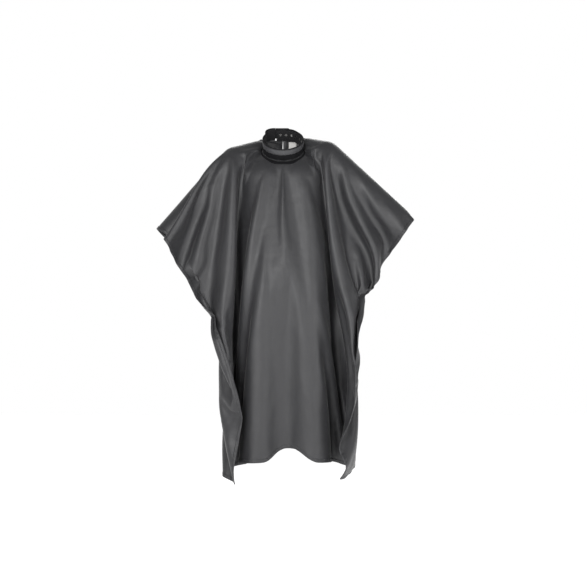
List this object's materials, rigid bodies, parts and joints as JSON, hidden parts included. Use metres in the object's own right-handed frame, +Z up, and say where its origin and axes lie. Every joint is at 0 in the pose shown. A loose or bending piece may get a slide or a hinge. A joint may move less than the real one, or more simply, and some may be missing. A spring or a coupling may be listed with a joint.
{
  "type": "barber cape",
  "caption": "Draped nylon barber cape with a stand-up neckband, rear snap closure tab, open back slit and narrow hems, shaped as worn over held-out arms.",
  "frame": {"origin": "centre of the neckband, on its axis at half its height", "axes": "+Z up as worn, -Y the way the wearer faces, +X towards the wearer's left; the neckband's axis tips 35 degrees forward from +Z"},
  "size_m": [0.897, 0.3415, 1.2451],
  "materials": {
    "cape_cloth": "semi-gloss woven nylon",
    "hem": "semi-gloss woven nylon",
    "neckband": "satin",
    "neckband_lining": "matte",
    "interfacing": "matte",
    "binding": "matte",
    "thread": "satin",
    "snap_metal": "satin",
    "snap_cap": "gloss",
    "label": "satin",
    "label_thread": "matte"
  },
  "bodies": {
    "cape": {"back_left_hem": "hem", "back_left_panel": "cape_cloth", "back_right_hem": "hem", "back_right_panel": "cape_cloth", "front_hem": "hem", "front_panel": "cape_cloth", "left_front_drape": "cape_cloth", "left_shoulder": "cape_cloth", "left_side_hem": "hem", "left_wing_back": "cape_cloth", "left_wing_front": "cape_cloth", "neck_seam": "hem", "neckband_binding": "binding", "neckband_interfacing": "interfacing", "neckband_lining": "neckband_lining", "neckband_outer": "neckband", "neckband_stitching": "thread", "right_front_drape": "cape_cloth", "right_shoulder": "cape_cloth", "right_side_hem": "hem", "right_wing_back": "cape_cloth", "right_wing_front": "cape_cloth", "slit_facing_left": "hem", "slit_facing_right": "hem", "snap_stud_posts": "snap_metal", "snap_studs": "snap_metal"},
    "closure_tab": {"tab_outer": "neckband", "tab_lining": "neckband_lining", "tab_interfacing": "interfacing", "tab_stitching": "thread", "snap_caps": "snap_cap", "snap_sockets": "snap_metal"},
    "care_label": {"care_label": "label", "care_label_stitching": "label_thread"}
  },
  "joints": [
    {"name": "closure_tab_peel", "type": "hinge", "parent": "cape", "child": "closure_tab", "pos_m": [-0.02785, 0.06496, 0.04548], "axis": [0, -0.5736, 0.8192], "range_deg": [0, 100]},
    {"name": "care_label_flip", "type": "hinge", "parent": "cape", "child": "care_label", "pos_m": [0.034, 0.08, 0.017], "axis": [-1, 0, 0], "range_deg": [0, 55]}
  ]
}
